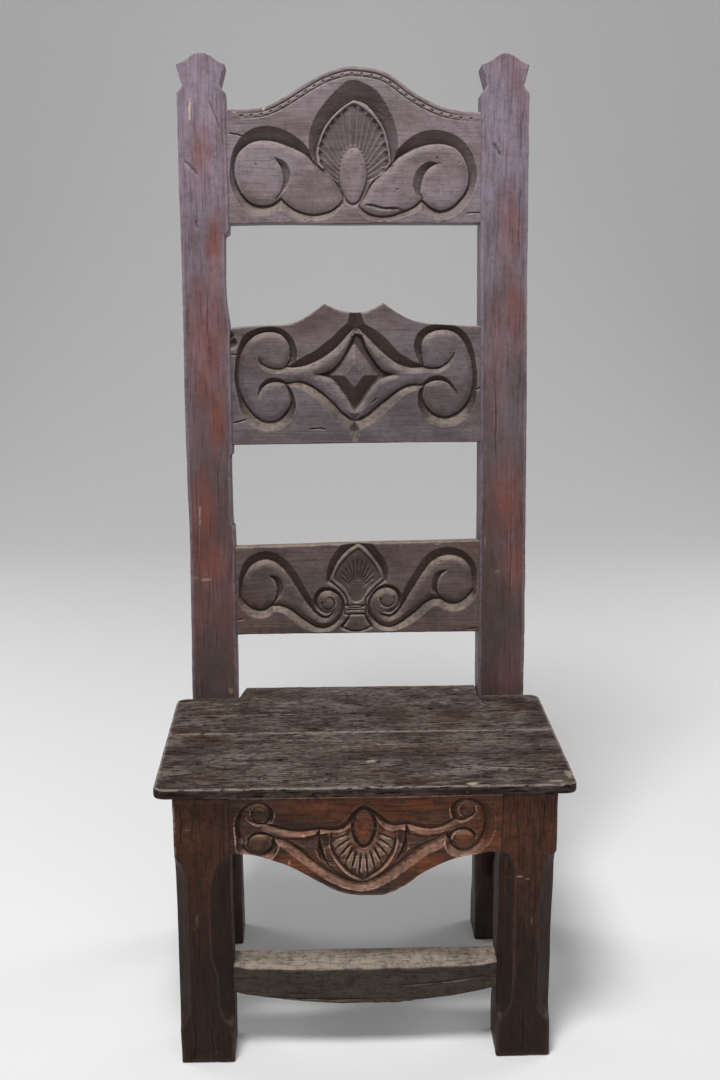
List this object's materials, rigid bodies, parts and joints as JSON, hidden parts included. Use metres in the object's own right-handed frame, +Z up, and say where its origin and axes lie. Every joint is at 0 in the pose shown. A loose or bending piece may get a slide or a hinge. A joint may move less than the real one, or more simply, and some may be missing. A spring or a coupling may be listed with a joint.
{
  "type": "carved high-backed wainscot chair",
  "caption": "High-backed carved oak chair: raked back posts with finials, carved back rails, plank seat, shaped carved apron, stop-chamfered legs and low stretchers, all tenoned and pegged.",
  "frame": {"origin": "on the floor, in the middle of the outer box of the whole chair", "axes": "+Z up; the chair faces -Y and its back leans towards +Y; +X is to the right as seen from the front, so left in a node's name is -X"},
  "size_m": [0.505, 0.4538, 1.2379],
  "materials": {
    "post_oak": "worn dark oil and wax over hand-hewn oak",
    "back_rail_oak": "worn dark oil and wax over hand-hewn oak",
    "seat_oak": "worn dark oil and wax over hand-hewn oak",
    "apron_oak": "worn dark oil and wax over hand-hewn oak",
    "leg_oak": "worn dark oil and wax over hand-hewn oak",
    "frame_oak": "worn dark oil and wax over hand-hewn oak",
    "stretcher_oak": "worn dark oil and wax over hand-hewn oak",
    "peg_oak": "worn dark oil and wax over hand-hewn oak"
  },
  "bodies": {
    "root": {"back_post_left": "post_oak", "back_post_right": "post_oak", "crest_rail": "back_rail_oak", "middle_rail": "back_rail_oak", "lower_rail": "back_rail_oak", "seat_board_front": "seat_oak", "seat_board_rear": "seat_oak", "front_apron": "apron_oak", "front_leg_left": "leg_oak", "front_leg_right": "leg_oak", "side_rail_left": "frame_oak", "side_rail_right": "frame_oak", "rear_rail": "frame_oak", "front_stretcher": "stretcher_oak", "side_stretcher_left": "stretcher_oak", "side_stretcher_right": "stretcher_oak", "crest_rail_pegs": "peg_oak", "middle_rail_pegs": "peg_oak", "lower_rail_pegs": "peg_oak", "apron_pegs": "peg_oak", "front_stretcher_pegs": "peg_oak", "rear_rail_pegs": "peg_oak", "side_rail_pegs": "peg_oak", "side_stretcher_pegs": "peg_oak", "seat_rail_dowels": "peg_oak", "seat_joint_dowels": "peg_oak"}
  },
  "joints": []
}
